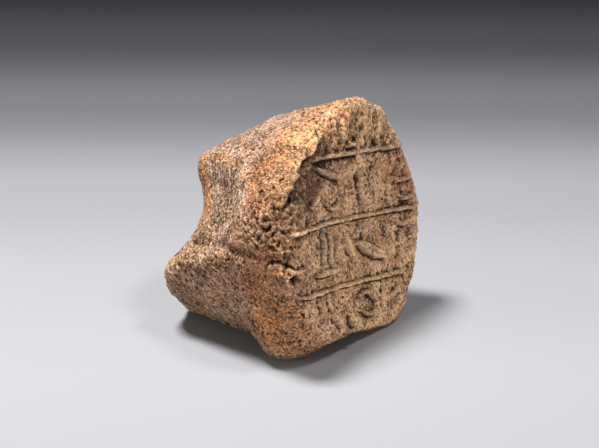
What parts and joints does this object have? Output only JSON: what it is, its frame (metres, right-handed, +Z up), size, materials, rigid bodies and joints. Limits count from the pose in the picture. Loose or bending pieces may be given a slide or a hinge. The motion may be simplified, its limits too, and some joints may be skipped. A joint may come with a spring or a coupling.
{
  "type": "funerary cone",
  "caption": "Broken end of a fired-clay funerary cone lying on its side, its round face stamped with raised dividing lines and rows of shallow strokes.",
  "frame": {"origin": "the middle of the bounding box's footprint, on the surface that the piece lies on", "axes": "+Z up; +X the way the stamped face looks, which leans back a little; +Y to the right along the face as it is looked at"},
  "size_m": [0.069, 0.0822, 0.0782],
  "materials": {
    "fired_clay": "matt, rough, chipped and worn"
  },
  "bodies": {
    "root": {"stamped_clay_cone": "fired_clay"}
  },
  "joints": []
}
